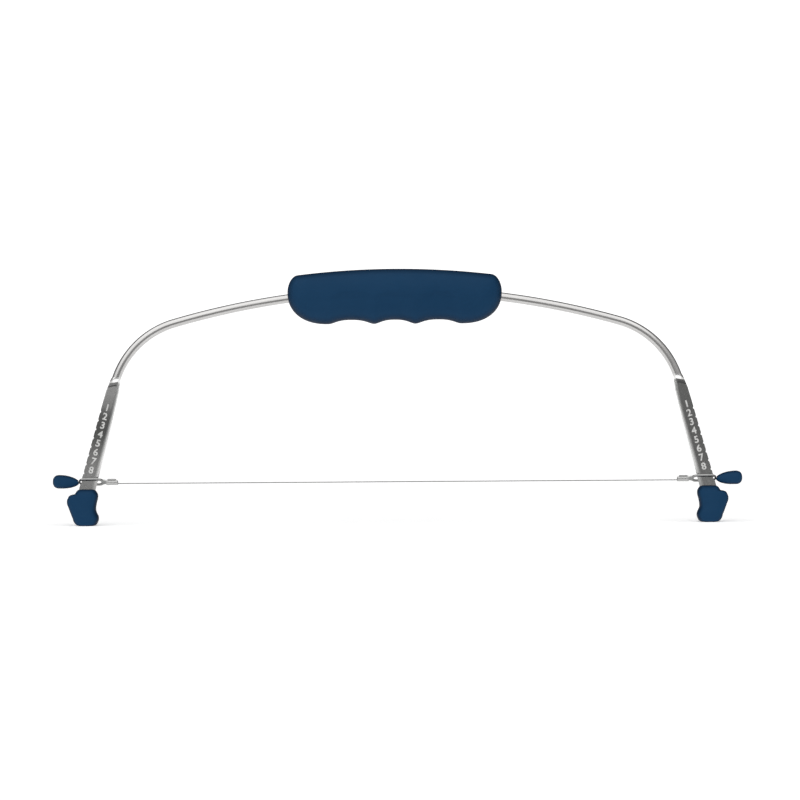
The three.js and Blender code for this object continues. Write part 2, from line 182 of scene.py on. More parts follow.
class Nodes:
    """A short way to write the nodes of a material, or of the world."""

    def __init__(self, name, owner=None):
        self.material = owner or bpy.data.materials.new(name)
        self.material.use_nodes = True
        self.tree = self.material.node_tree
        self.shader = self.tree.nodes["Background" if owner else "Principled BSDF"]

    def add(self, kind, settings=None, **inputs):
        node = self.tree.nodes.new("ShaderNode" + kind)
        for key, value in (settings or {}).items():
            setattr(node, key, value)
        for key, value in inputs.items():
            self.feed(node.inputs[key.replace("_", " ")], value)
        return node

    def feed(self, socket, value):
        if isinstance(value, bpy.types.NodeSocket):
            self.tree.links.new(value, socket)
        elif isinstance(value, bpy.types.Node):
            self.tree.links.new(value.outputs[0], socket)
        else:
            socket.default_value = value

    def set(self, **inputs):
        for key, value in inputs.items():
            self.feed(self.shader.inputs[key.replace("_", " ")], value)

    def stretched(self, stretch):
        place = self.add("TexCoord").outputs["Object"]
        return self.add("Mapping", Vector=place, Scale=stretch)

    def noise(self, scale, detail, vector=None):
        if vector is None:
            vector = self.add("TexCoord").outputs["Object"]
        return self.add("TexNoise", Vector=vector, Scale=scale, Detail=detail)

    def ramp(self, value, low, high):
        """The value carried from the range between low[0] and high[0] to that between low[1] and high[1]."""
        return self.add(
            "MapRange", Value=value, From_Min=low[0], From_Max=high[0], To_Min=low[1], To_Max=high[1],
        )

    def stops(self, value, stops):
        """A grey that follows (value, grey) stops, for values from -1 to 1 and greys up to TOP_GREY."""
        place = self.ramp(value, (-1.0, 0.0), (1.0, 1.0))
        node = self.add("ValToRGB", Fac=place.outputs[0])
        elements = node.color_ramp.elements
        while len(elements) < len(stops):
            elements.new(0.5)
        for element, (at, grey) in zip(elements, stops):
            element.position = (at + 1) / 2
            element.color = (grey / TOP_GREY,) * 3 + (1.0,)
        return node.outputs["Color"]

    def blend(self, factor, first, second):
        node = self.tree.nodes.new("ShaderNodeMix")
        node.data_type = "RGBA"
        colour_a, colour_b = [s for s in node.inputs if s.type == "RGBA"]
        self.feed(node.inputs[0], factor)
        self.feed(colour_a, first)
        self.feed(colour_b, second)
        return [s for s in node.outputs if s.type == "RGBA"][0]

    def bump(self, height, strength, distance, under=None):
        node = self.add("Bump", Height=height, Strength=strength, Distance=distance)
        if under is not None:
            self.feed(node.inputs["Normal"], under)
        return node.outputs["Normal"]


TOP_GREY = 2.0  # the brightest grey that the world can reach


def colour(red, green, blue):
    return (red, green, blue, 1.0)


def navy_plastic():
    """Satin moulded plastic. Shade is painted on the rim between its front and rear faces, so they are a
    little lighter than the rim.
    """
    n = Nodes("navy_plastic")
    grain = n.noise(2600, 2.0)
    clouds = n.noise(38, 3.0)
    worn = n.noise(160, 4.0)
    tone = n.ramp(clouds, (0.35, 0.0), (0.65, 1.0))
    face = n.blend(tone, colour(0.0055, 0.0352, 0.0862), colour(0.0068, 0.0384, 0.0918))
    out = n.add("SeparateXYZ", Vector=n.add("TexCoord").outputs["Normal"]).outputs["Y"]
    # Painted shade: darker where the surface faces up or down instead of front or rear
    painted_rim_shade = n.ramp(n.add("Math", {"operation": "ABSOLUTE"}, Value=out), (0.3, 1.0), (0.8, 0.0))
    n.set(
        Base_Color=n.blend(painted_rim_shade, face, colour(0.0018, 0.0155, 0.041)),
        Roughness=n.ramp(worn, (0.3, 0.5), (0.7, 0.62)),
        Specular_IOR_Level=0.09,
        IOR=1.46,
    )
    soft = n.bump(clouds, 0.12, 0.0004)
    n.set(Normal=n.bump(grain, 0.16, 0.00004, soft))
    return n.material


def drawn_steel():
    """Polished drawn rod with fine lines along it, satin where it is pressed flat.

    The mesh's attributes say where it is pressed, where shade is painted along the crease, where highlights
    are painted on the facet and the inner edge, and how bright a reflection is painted on its flats.
    """
    n = Nodes("drawn_steel")
    around, along, flat, painted_crease_shade, painted_highlight, painted_flat_reflection = (
        n.add("Attribute", {"attribute_name": name}).outputs["Fac"]
        for name in ("around", "along", "pressed", "painted_crease_shade", "painted_highlight", "painted_flat_reflection")
    )
    place = n.add("CombineXYZ", X=around, Y=along)
    lines = n.noise(1.0, 3.0, n.add("Mapping", Vector=place, Scale=(34.0, 55.0, 1.0)))
    brushed = n.noise(1.0, 4.0, n.add("Mapping", Vector=place, Scale=(12.0, 3800.0, 1.0)))
    smudge = n.noise(90, 3.0)
    shade = n.ramp(lines, (0.3, 0.0), (0.7, 1.0))
    round_colour = n.blend(shade, colour(0.515, 0.508, 0.5), colour(0.63, 0.623, 0.615))
    flat_shade = n.ramp(brushed, (0.3, 0.0), (0.7, 1.0))
    flat_painted_dark = n.blend(flat_shade, colour(0.132, 0.133, 0.129), colour(0.147, 0.148, 0.144))
    flat_painted_bright = n.blend(flat_shade, colour(0.405, 0.404, 0.398), colour(0.45, 0.449, 0.443))
    # Painted reflection: each arm's flats blend from a dark to a bright copy by height, the left arm lighter
    # than the right
    flat_colour = n.blend(painted_flat_reflection, flat_painted_dark, flat_painted_bright)
    steel = n.blend(flat, round_colour, flat_colour)
    # Painted highlight: near white on the sloped facet where the press starts and on the inner edge of the
    # arms
    steel = n.blend(painted_highlight, steel, colour(0.97, 0.97, 0.96))
    rough_round = n.ramp(smudge, (0.3, 0.18), (0.7, 0.25))
    rough_flat = n.ramp(brushed, (0.3, 0.22), (0.7, 0.28))
    roughs = {"A": rough_round.outputs[0], "B": rough_flat.outputs[0]}
    rough = n.add("Mix", {"data_type": "FLOAT"}, Factor=flat, **roughs)
    # Painted shade: a dark line along the crease where the pressed flat begins, on the front only
    n.set(
        Base_Color=n.blend(painted_crease_shade, steel, colour(0.06, 0.06, 0.06)),
        Metallic=1.0,
        Roughness=rough.outputs[0],
    )
    n.set(Normal=n.bump(lines, 0.1, 0.00003, n.bump(brushed, 0.02, 0.00001)))
    return n.material


def digit_steel():
    """The bright floor of the stamped digits."""
    n = Nodes("digit_steel")
    speckle = n.noise(1800, 2.0)
    shade = n.ramp(speckle, (0.35, 0.0), (0.65, 1.0))
    n.set(
        Base_Color=n.blend(shade, colour(0.5, 0.5, 0.49), colour(0.72, 0.72, 0.71)),
        Metallic=0.35,
        Roughness=n.ramp(speckle, (0.35, 0.4), (0.65, 0.6)),
    )
    return n.material


def stamped_steel():
    """Nickel-bright sheet with fine rolling lines and burnished edges."""
    n = Nodes("stamped_steel")
    rolled = n.noise(1.0, 3.0, n.stretched((500.0, 5200.0, 5200.0)))
    dull = n.noise(420, 3.0)
    edge = n.add("NewGeometry").outputs["Pointiness"]
    bright = n.ramp(edge, (0.5, 0.0), (0.58, 1.0))
    shade = n.ramp(dull, (0.3, 0.0), (0.7, 1.0))
    plain = n.blend(shade, colour(0.21, 0.212, 0.206), colour(0.28, 0.282, 0.276))
    n.set(
        Base_Color=n.blend(bright, plain, colour(0.5, 0.5, 0.495)),
        Metallic=1.0,
        Roughness=n.ramp(dull, (0.3, 0.22), (0.7, 0.36)),
    )
    n.set(Normal=n.bump(rolled, 0.12, 0.00002))
    return n.material


def twisted_steel():
    """Fine hard-drawn strands, darker than the rod."""
    n = Nodes("twisted_steel")
    drawn = n.noise(1.0, 3.0, n.stretched((900.0, 9000.0, 9000.0)))
    shade = n.ramp(drawn, (0.3, 0.0), (0.7, 1.0))
    n.set(
        Base_Color=n.blend(shade, colour(0.16, 0.16, 0.158), colour(0.24, 0.24, 0.237)),
        Metallic=1.0,
        Roughness=n.ramp(drawn, (0.3, 0.28), (0.7, 0.42)),
    )
    return n.material


NAVY = navy_plastic()
STEEL = drawn_steel()
DIGIT = digit_steel()
STAMPED = stamped_steel()
TWISTED = twisted_steel()


# ---- bow rod ------------------------------------------------------------------------------------

ROD_RADIUS = 2.25 * MM
CROWN_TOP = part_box("bow_rod")[1].z - ROD_RADIUS
CROWN_RADIUS = 416 * MM
CROWN_ANGLE = math.radians(16)
SHOULDER_RADIUS = 44.5 * MM
ARM_LEAN = math.radians(14.9)
ARM_SLOPE = math.pi / 2 - ARM_LEAN
ARM_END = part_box("bow_rod")[0].z + 1 * MM  # inside the foot
CROWN_END = Vector((
    CROWN_RADIUS * math.sin(CROWN_ANGLE), 0, CROWN_TOP - CROWN_RADIUS * (1 - math.cos(CROWN_ANGLE)),
))
ARM_START = CROWN_END + SHOULDER_RADIUS * Vector((
    math.sin(ARM_SLOPE) - math.sin(CROWN_ANGLE), 0, math.cos(ARM_SLOPE) - math.cos(CROWN_ANGLE),
))
WIRE_Z = sum(corner.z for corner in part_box("cutting_wire")) / 2

PRESS_TOP = 76.4 * MM
PRESS_END = 73.6 * MM
CREASE = 71.9 * MM
# Height on the arm, half width, half thickness
ARM_STEPS = [
    (4.5 * MM, 4.33 * MM, 1.0 * MM),
    (26.5 * MM, 4.03 * MM, 1.02 * MM),
    (62 * MM, 3.5 * MM, 1.1 * MM),
    (68.5 * MM, 3.3 * MM, 1.13 * MM),
    (CREASE - 0.3 * MM, 2.9 * MM, 1.15 * MM),
    (CREASE, 2.85 * MM, 1.07 * MM),
    (PRESS_END, 2.6 * MM, 1.17 * MM),
    (PRESS_TOP, ROD_RADIUS, ROD_RADIUS),
]
# How far the inner edge's rounding reaches into the flat by height, and the outer edge's everywhere
INNER_EDGE = [(24 * MM, 2.2 * MM), (70 * MM, 1.6 * MM)]
OUTER_EDGE = 0.3 * MM
PRESS_SLANT = 0.45  # how much later the pressing reaches the outer side than the middle
PRESS_START = PRESS_TOP + PRESS_SLANT * ROD_RADIUS
SLANT_FROM = CREASE - 4 * MM  # below this height on the arm the slant is gone
SLANT_FULL = CREASE - 1 * MM
PRESS_CURVE = 1.8  # above 1, the pressed flat runs out in a curve
EDGES_FORMED = PRESS_END - 2 * MM
OUTER_POWER = 3.0  # of the edges' outlines: 2 is an ellipse and more is squarer
INNER_POWER = 1.7
NOTCH_PITCH = 4.7 * MM
NOTCH_COUNT = 9
NOTCH_DEPTH = 0.55 * MM
NOTCH_HALF = 0.75 * MM
NOTCH_WALL = 1.25  # above 1, the notch's bottom is flat
ROD_SIDES = 64
CROWN_STATIONS = 60
SHOULDER_STATIONS = 48
SHOULDER_GAP = 0.3 * MM  # between the shoulder's last station and the first of the pressed arm
ARM_STATION = 0.18 * MM
BOW_CREASE = 24  # degrees between two faces that leave a crisp edge

# Each pair is where a tone starts and where it is full, measured across, deep, by height or to a middle
FRONT_SIDE = (-0.2 * MM, -0.6 * MM)  # only the front gets the painted crease shade and the painted facet highlight
FRONT_ACROSS = (-ROD_RADIUS * 0.75, -ROD_RADIUS * 0.6)
FACET_TOP = (PRESS_TOP, PRESS_TOP - 0.4 * MM)
FACET_BOTTOM = (PRESS_END, PRESS_END + 0.3 * MM)
FACET_MIDDLE = -0.25 * MM
FACET_SIDES = (1.25 * MM + 0.45 * MM, 1.25 * MM)
FLANK_PAINTED_HIGHLIGHT = 0.6  # strength of the highlight painted on the inner edge, where the rod isn't touched by the press
FLANK_OFF_FLAT = (0, 0.12 * MM)
FLANK_ACROSS = (0, -0.5 * MM)
FLANK_HEIGHTS = (18 * MM, 34 * MM)
ROUND_HEIGHTS = (PRESS_END - 0.2 * MM, PRESS_END + 0.2 * MM)
CREASE_SHADE_REACH = (0.6 * MM, 0.15 * MM)
# How bright a reflection is painted on each arm's flats at a height, 0 dark and 1 bright
LEFT_PAINTED_REFLECTION = [
    (20 * MM, 0.6),
    (24.5 * MM, 0.78),
    (30.7 * MM, 0.74),
    (36.9 * MM, 0.5),
    (43 * MM, 0.17),
    (49.2 * MM, 0.0),
    (55 * MM, 0.06),
    (58.5 * MM, 0.25),
    (61.6 * MM, 0.69),
    (67.8 * MM, 1.0),
]
RIGHT_PAINTED_REFLECTION = [(24 * MM, 0.5), (34 * MM, 0.3), (60 * MM, 0.29), (66 * MM, 0.32)]


def linear_steps(steps, at, column):
    """The same as along_steps, with straight lines between the rows."""
    if at <= steps[0][0]:
        return steps[0][column]
    for low, high in zip(steps, steps[1:]):
        if at <= high[0]:
            return mix(low[column], high[column], (at - low[0]) / (high[0] - low[0]))
    return steps[-1][column]


def arm_x(z):
    return ARM_START.x + (ARM_START.z - z) * math.tan(ARM_LEAN)


def outer_edge_x(z):
    return arm_x(z) + linear_steps(ARM_STEPS, z, 1) / math.cos(ARM_LEAN)


SCALE_BOTTOM = 27 * MM
SCALE_TOP = 58 * MM
EDGE_SLOPE = math.atan((outer_edge_x(SCALE_BOTTOM) - outer_edge_x(SCALE_TOP)) / (SCALE_TOP - SCALE_BOTTOM))
NOTCH_RISE = NOTCH_PITCH * math.cos(EDGE_SLOPE)


def notch_depth(z):
    """How far the outer edge is cut back at a height."""
    nearest = round((z - WIRE_Z) / NOTCH_RISE)
    if nearest < 0 or nearest >= NOTCH_COUNT:
        return 0.0
    off = abs(z - WIRE_Z - nearest * NOTCH_RISE)
    return NOTCH_DEPTH * clamp01(NOTCH_WALL * (1 - off / NOTCH_HALF))


def half_centreline():
    """Stations of the right half from the crown down: the place and the slope."""
    stations = []
    for i in range(CROWN_STATIONS):
        slope = CROWN_ANGLE * i / CROWN_STATIONS
        place = Vector((CROWN_RADIUS * math.sin(slope), 0, CROWN_TOP - CROWN_RADIUS * (1 - math.cos(slope))))
        stations.append((place, slope))
    for i in range(SHOULDER_STATIONS):
        slope = mix(CROWN_ANGLE, ARM_SLOPE, i / SHOULDER_STATIONS)
        place = CROWN_END + SHOULDER_RADIUS * Vector((
            math.sin(slope) - math.sin(CROWN_ANGLE), 0, math.cos(slope) - math.cos(CROWN_ANGLE),
        ))
        if place.z > PRESS_START + SHOULDER_GAP:
            stations.append((place, slope))
    count = math.ceil((PRESS_START - ARM_END) / ARM_STATION)
    for i in range(count + 1):
        z = mix(PRESS_START, ARM_END, i / count)
        if z > ARM_START.z:
            slope = math.acos(clamp01(math.cos(CROWN_ANGLE) - (CROWN_END.z - z) / SHOULDER_RADIUS))
            x = CROWN_END.x + SHOULDER_RADIUS * (math.sin(slope) - math.sin(CROWN_ANGLE))
        else:
            slope = ARM_SLOPE
            x = arm_x(z)
        stations.append((Vector((x, 0, z)), slope))
    return stations


def half_thickness(z):
    """Half the rod's thickness at a height. It curves down to the flat between PRESS_TOP and PRESS_END."""
    if z <= PRESS_END:
        return linear_steps(ARM_STEPS, z, 2)
    flat = linear_steps(ARM_STEPS, PRESS_END, 2)
    down = clamp01((PRESS_TOP - z) / (PRESS_TOP - PRESS_END))
    return flat + (ROD_RADIUS - flat) * (1 - down ** PRESS_CURVE)


def slanted(z, across):
    """The height that counts for the pressing, at a distance across the rod from its middle."""
    near_root = smooth(SLANT_FROM, SLANT_FULL, z)
    return z + PRESS_SLANT * across * near_root


def rod_section(z, angle):
    """Across and deep of the section at an angle, for the round rod and its pressed ends."""
    across, deep = math.cos(angle) * ROD_RADIUS, math.sin(angle) * ROD_RADIUS
    reached = slanted(z, across)
    if reached >= PRESS_TOP:
        return across, deep
    limit = half_thickness(reached)
    flat_edge = math.sqrt(max(0.0, ROD_RADIUS ** 2 - limit ** 2))
    pressed = smooth(PRESS_TOP, EDGES_FORMED, reached)
    outer = across > 0
    bulge = mix(ROD_RADIUS - flat_edge, OUTER_EDGE if outer else linear_steps(INNER_EDGE, z, 1), pressed)
    flat_half = linear_steps(ARM_STEPS, z, 1) - bulge
    if abs(deep) >= limit:
        return across * flat_half / flat_edge, math.copysign(limit, deep)
    on_circle = math.sqrt(ROD_RADIUS ** 2 - deep ** 2) - flat_edge
    power = OUTER_POWER if outer else INNER_POWER
    on_edge = bulge * (1 - (abs(deep) / limit) ** power) ** (1 / power)
    return math.copysign(flat_half + mix(on_circle, on_edge, pressed), across), deep


def rod_tones(place, across, deep):
    """How pressed the rod is at a point of its skin, with its painted crease shade, painted highlight and
    painted reflection on the flats.
    """
    reached = slanted(place.z, across)
    on_flat = smooth(*FRONT_ACROSS, across) * smooth(*FRONT_SIDE, deep)
    # Masks of the painted highlight: the sloped facet on the front and the inner edge
    facet = smooth(*FACET_TOP, reached) * smooth(*FACET_BOTTOM, reached)
    facet *= smooth(*FACET_SIDES, abs(across - FACET_MIDDLE))
    flank = FLANK_PAINTED_HIGHLIGHT * smooth(*FLANK_OFF_FLAT, half_thickness(reached) - abs(deep))
    flank *= smooth(*FLANK_ACROSS, across) * smooth(PRESS_TOP, PRESS_END, reached)
    flank *= smooth(*FLANK_HEIGHTS, place.z)
    return {
        "pressed": 1 - smooth(*ROUND_HEIGHTS, reached),
        "painted_crease_shade": smooth(*CREASE_SHADE_REACH, abs(reached - CREASE)) * on_flat,
        "painted_highlight": max(facet * on_flat, flank),
        "painted_flat_reflection": linear_steps(LEFT_PAINTED_REFLECTION if place.x < 0 else RIGHT_PAINTED_REFLECTION, place.z, 1),
    }


def bow_rod():
    half = half_centreline()
    left = [(Vector((-p.x, 0, p.z)), -slope) for p, slope in reversed(half[1:])]
    line = left + half
    rings = []
    values = {}
    travelled = 0.0
    for i, (place, slope) in enumerate(line):
        if i:
            travelled += (place - line[i - 1][0]).length
        outwards = linear_steps(ARM_STEPS, place.z, 1) - notch_depth(place.z)
        ring = []
        for j in range(ROD_SIDES):
            across, deep = rod_section(place.z, 2 * math.pi * j / ROD_SIDES)
            across = min(across, outwards)
            ring.append(place + Vector((across * math.sin(slope), deep, across * math.cos(slope))))
            tones = {"around": j / ROD_SIDES, "along": travelled, **rod_tones(place, across, deep)}
            for name, value in tones.items():
                values.setdefault(name, []).append(value)
        rings.append(ring)
    mesh = new_mesh("bow", *loft(rings))
    for name, numbers in values.items():
        mesh.attributes.new(name, "FLOAT", "POINT").data.foreach_set("value", numbers)
    bow = finished("bow", mesh)
    bow.data.materials.append(STEEL)
    bow.data.materials.append(DIGIT)
    cut_away(bow, scale_digits())
    bow.data.set_sharp_from_angle(angle=math.radians(BOW_CREASE))
    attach(bow, "frame")
    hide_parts("bow_rod")


DIGIT_COUNT = 8
DIGIT_SIZE = 5 * MM
DIGIT_TOP_Z = 60.6 * MM
DIGIT_PITCH = 4.75 * MM
DIGIT_OUTWARDS = 0.5 * MM
DIGIT_DEPTH = 0.14 * MM
DIGIT_BOLDER = 0.11 * MM


def scale_digits():
    """Cutters for the digits stamped in the front of both arms, 1 at the top."""
    parts = bmesh.new()
    for side in (-1, 1):
        for number in range(DIGIT_COUNT):
            curve = bpy.data.curves.new("digit", "FONT")
            curve.body = str(number + 1)
            curve.size = DIGIT_SIZE
            curve.align_x = "CENTER"
            curve.align_y = "CENTER"
            curve.extrude = DIGIT_DEPTH
            curve.offset = DIGIT_BOLDER
            curve.resolution_u = 3
            text = bpy.data.objects.new("digit", curve)
            bpy.context.scene.collection.objects.link(text)
            bpy.context.view_layer.update()
            mesh = evaluated_mesh(text)
            z = DIGIT_TOP_Z - number * DIGIT_PITCH * math.cos(ARM_LEAN)
            front = -linear_steps(ARM_STEPS, z, 2)
            upright = Matrix.Rotation(math.pi / 2, 4, "X")
            lean = Matrix.Rotation(-side * ARM_LEAN, 4, "Y")
            x = side * (arm_x(z) + DIGIT_OUTWARDS)
            mesh.transform(Matrix.Translation((x, front, z)) @ lean @ upright)
            parts.from_mesh(mesh)
            bpy.data.objects.remove(text)
    bmesh.ops.remove_doubles(parts, verts=parts.verts, dist=SAME_PLACE)
    bmesh.ops.recalc_face_normals(parts, faces=parts.faces)
    mesh = bpy.data.meshes.new("digits")
    parts.to_mesh(mesh)
    parts.free()
    mesh.materials.append(DIGIT)
    tool = bpy.data.objects.new("digits", mesh)
    bpy.context.scene.collection.objects.link(tool)
    return tool


# ---- handle -------------------------------------------------------------------------------------

FRONT_LOW, FRONT_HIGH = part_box("handle_front_shell")
HANDLE_HALF = (FRONT_HIGH.x - FRONT_LOW.x) / 2
HANDLE_MIDDLE = (FRONT_HIGH.x + FRONT_LOW.x) / 2
HANDLE_TOP = FRONT_HIGH.z
HANDLE_BOTTOM = FRONT_LOW.z
HANDLE_DEPTH = -FRONT_LOW.y
HANDLE_WIDEST = 119.3 * MM
FINGER_DEPTH = 2.1 * MM
MIDDLE_CREST = 10.6 * MM  # from the handle's middle to the crests on both sides of the middle finger
END_CREST = 34.2 * MM
CREST_ROUND = 2.2 * MM
DIP_POWER = 2.6  # above 2, the dips are flatter in the middle than a parabola
GROOVE_TOP = 116.2 * MM
GROOVE_RISE = 2.4 * MM
GROOVE_EDGE = (0.7 * MM, -1.8 * MM)  # from the groove's top to where it starts and where it is full
GROOVE_DEPTH = (0.45 * MM, 0.75 * MM)  # at the crests, and how much more in the dips
TOP_CORNER = 5.2 * MM
BOTTOM_CORNER = 20.5 * MM
BOTTOM_SQUARENESS = 2.25
DEPTH_CORNER = 12 * MM
DEPTH_POWER = 0.4
SECTION_SQUARENESS = 2.5
SEAM = 0.003 * MM  # from the parting plane to each shell, where they meet
SEAM_LIP = 0.06 * MM  # the same at the skin, before its edge is rounded
SEAM_ROUND = 0.35 * MM
SEAM_SLOPE = 0.5
SEAM_REACH = 0.5 * MM  # how far in from the skin the two shells meet
HANDLE_SHORT = 0.9995  # keeps the ends from closing to a line
HANDLE_STATIONS = 220
HANDLE_SIDES = 64
ROD_ROOM_SIDES = 48
ROD_FIT = 1.06  # the hole for the rod over the rod's own radius


def corner(x, radius, exponent=2.0, power=0.5):
    past = max(0.0, abs(x) - (HANDLE_HALF - radius)) / radius
    return max(0.0, 1 - past ** exponent) ** power


def finger_rise(x):
    """0 on the crests between the fingers and 1 in the middle of each dip."""
    place = abs(x)
    if place < MIDDLE_CREST:
        low, high = -MIDDLE_CREST, MIDDLE_CREST
    elif place < END_CREST:
        low, high = MIDDLE_CREST, END_CREST
    else:
        return 0.0
    from_crest = math.hypot(min(place - low, high - place), CREST_ROUND) - CREST_ROUND
    reach = math.hypot((high - low) / 2, CREST_ROUND) - CREST_ROUND
    return 1 - (1 - from_crest / reach) ** DIP_POWER


def handle_section(x, angle):
    """A point of the handle's skin: angle 0 is the bottom of the front half, pi its top."""
    arch = HANDLE_TOP - CROWN_RADIUS + math.sqrt(CROWN_RADIUS ** 2 - x ** 2)
    base = HANDLE_BOTTOM + FINGER_DEPTH * finger_rise(x)
    top = HANDLE_WIDEST + (arch - HANDLE_WIDEST) * corner(x, TOP_CORNER)
    bottom_corner = corner(x, BOTTOM_CORNER, BOTTOM_SQUARENESS, 1 / BOTTOM_SQUARENESS)
    bottom = HANDLE_WIDEST - (HANDLE_WIDEST - base) * bottom_corner
    depth = HANDLE_DEPTH * corner(x, DEPTH_CORNER, power=DEPTH_POWER)
    up = -squared(math.cos(angle), 2 / SECTION_SQUARENESS)
    out = squared(math.sin(angle), 2 / SECTION_SQUARENESS)
    middle = (top + bottom) / 2
    z = middle + up * (top - bottom) / 2
    groove_top = GROOVE_TOP + GROOVE_RISE * finger_rise(x)
    groove = smooth(groove_top + GROOVE_EDGE[0], groove_top + GROOVE_EDGE[1], z)
    wrap = GROOVE_DEPTH[0] + GROOVE_DEPTH[1] * finger_rise(x)
    depth = depth * out - groove * wrap * out * corner(x, BOTTOM_CORNER)
    return z, depth


def handle_shell(name, node, front):
    """The front shell for front 1 and the rear one for -1."""
    rings = []
    for i in range(HANDLE_STATIONS + 1):
        share = -1 + 2 * i / HANDLE_STATIONS
        x = HANDLE_HALF * math.sin(share * math.pi / 2) * HANDLE_SHORT
        ring = []
        for j in range(HANDLE_SIDES + 1):
            z, depth = handle_section(x, math.pi * j / HANDLE_SIDES)
            seam = SEAM_LIP + max(0.0, SEAM_ROUND - depth) * SEAM_SLOPE
            ring.append(Vector((x + HANDLE_MIDDLE, -front * max(depth, seam), z)))
        bottom, top = ring[0].z, ring[-1].z
        inset = min(SEAM_REACH, (top - bottom) / 4)
        ring.append(Vector((x + HANDLE_MIDDLE, -front * SEAM, top - inset)))
        ring.append(Vector((x + HANDLE_MIDDLE, -front * SEAM, bottom + inset)))
        rings.append(ring)
    shell = mesh_object(name, *loft(rings))
    shell.data.materials.append(NAVY)
    cut_away(shell, rod_room())
    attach(shell, "frame")
    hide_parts(node)


def rod_room():
    """A tool a little wider than the rod, for the holes where it enters the handle."""
    rings = []
    for place, slope in half_centreline()[:CROWN_STATIONS]:
        rings.append([
            place + ROD_FIT * ROD_RADIUS * Vector((
                math.cos(a) * math.sin(slope), math.sin(a), math.cos(a) * math.cos(slope),
            ))
            for a in circle(ROD_ROOM_SIDES)
        ])
    left = [[Vector((-p.x, p.y, p.z)) for p in ring] for ring in reversed(rings[1:])]
    return mesh_object("rod_room", *loft(left + rings))


# ---- feet ---------------------------------------------------------------------------------------

# Height, inner and outer limits away from the middle, half depth, all in millimetres
FOOT_STEPS = [
    (0.0, 156.5, 163.8, 4.2),
    (0.3, 155.6, 165.0, 4.8),
    (0.85, 155.0, 165.75, 5.15),
    (1.9, 154.45, 166.6, 5.4),
    (3.0, 154.1, 167.05, 5.55),
    (4.0, 154.05, 167.3, 5.55),
    (5.0, 154.25, 167.75, 5.5),
    (6.0, 154.7, 168.15, 5.35),
    (7.1, 155.2, 168.55, 5.2),
    (8.1, 155.42, 168.95, 5.15),
    (9.2, 155.4, 169.35, 5.15),
    (10.2, 155.3, 169.75, 5.2),
    (11.2, 155.1, 170.1, 5.25),
    (12.2, 154.9, 170.2, 5.25),
    (13.2, 154.6, 170.1, 5.25),
    (14.25, 154.4, 169.7, 5.15),
    (15.1, 154.3, 169.25, 5.05),
    (15.7, 154.35, 168.6, 4.95),
    (15.95, 154.4, 167.9, 4.9),
    (16.1, 154.45, 166.9, 4.85),
    (16.35, 154.55, 166.2, 4.8),
    (16.9, 154.8, 165.75, 4.55),
    (17.3, 155.05, 165.45, 4.25),
    (18.0, 155.5, 165.0, 3.5),
    (18.5, 156.1, 164.2, 2.6),
    (18.7, 157.0, 163.2, 1.8),
]
FOOT_SQUARENESS = 2.8
FOOT_STATIONS = 96
FOOT_SIDES = 72


def foot_mesh():
    """The right foot."""
    steps = [tuple(value * MM for value in row) for row in FOOT_STEPS]
    rings = []
    for share in end_to_end(FOOT_STATIONS):
        z = steps[-1][0] * share
        inner, outer, depth = (along_steps(steps, z, column) for column in (1, 2, 3))
        ring = []
        for angle in circle(FOOT_SIDES):
            across = squared(math.cos(angle), 2 / FOOT_SQUARENESS)
            deep = squared(math.sin(angle), 2 / FOOT_SQUARENESS)
            ring.append(Vector(((inner + outer) / 2 + across * (outer - inner) / 2, deep * depth, z)))
        rings.append(ring)
    return new_mesh("foot", *loft(rings))


def feet():
    right = foot_mesh()
    for side, name in ((-1, "left_foot"), (1, "right_foot")):
        mesh = mirror_mesh(right) if side < 0 else right.copy()
        shoe = finished(name + "_shoe", mesh, "frame", NAVY, sharp=50)
        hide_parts(name)


# ---- wire ---------------------------------------------------------------------------------------

WIRE_LOW, WIRE_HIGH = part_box("cutting_wire")
STRANDS = 3
STRAND_RADIUS = 0.115 * MM
STRAND_OFFSET = 0.13 * MM
TWIST_PITCH = 1.9 * MM
TWIST_STEPS = 12
STRAND_SIDES = 6


def cutting_wire():
    length = WIRE_HIGH.x - WIRE_LOW.x
    count = int(length / TWIST_PITCH * TWIST_STEPS)
    vertices, faces = [], []
    for strand in range(STRANDS):
        start = 2 * math.pi * strand / STRANDS
        rings = []
        for i in range(count + 1):
            x = WIRE_LOW.x + length * i / count
            turn = start + 2 * math.pi * i / TWIST_STEPS
            centre = Vector((x, STRAND_OFFSET * math.cos(turn), WIRE_Z + STRAND_OFFSET * math.sin(turn)))
            ring = []
            for j in range(STRAND_SIDES):
                angle = turn + 2 * math.pi * j / STRAND_SIDES
                ring.append(centre + STRAND_RADIUS * Vector((0, math.cos(angle), math.sin(angle))))
            rings.append(ring)
        ring_vertices, ring_faces = loft(rings)
        first = len(vertices)
        vertices += ring_vertices
        faces += [tuple(first + k for k in face) for face in ring_faces]
    wire = mesh_object("twisted_wire", vertices, faces, "wire", "twisted_steel", TWISTED)
    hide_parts("cutting_wire")
    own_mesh(wire)


# ---- clips --------------------------------------------------------------------------------------

CLIP_Z = WIRE_Z + 0.85 * MM
CLIP_TILT = math.radians(33)
SHEET = 0.75 * MM
SHEET_ROUND = 0.12 * MM
SLOT_INNER = 152.4 * MM
SLOT_OUTER = 163.4 * MM
SLOT_HALF = 2.0 * MM
SLOT_CORNER = 1.6 * MM
RING_BAR = 1.15 * MM
RING_END = 0.5 * MM
RING_CORNER = 2.7 * MM
NECK_HALF = 1.75 * MM
NECK_NARROWED = 0.85 * NECK_HALF  # at its start in the barrel
NECK_START = 149.2 * MM
TAIL_HALF = 0.7 * MM
TAIL_END = 170 * MM
QUARTER = math.pi / 2
RING_ARC_STEPS = 14
SLOT_ARC_STEPS = 10


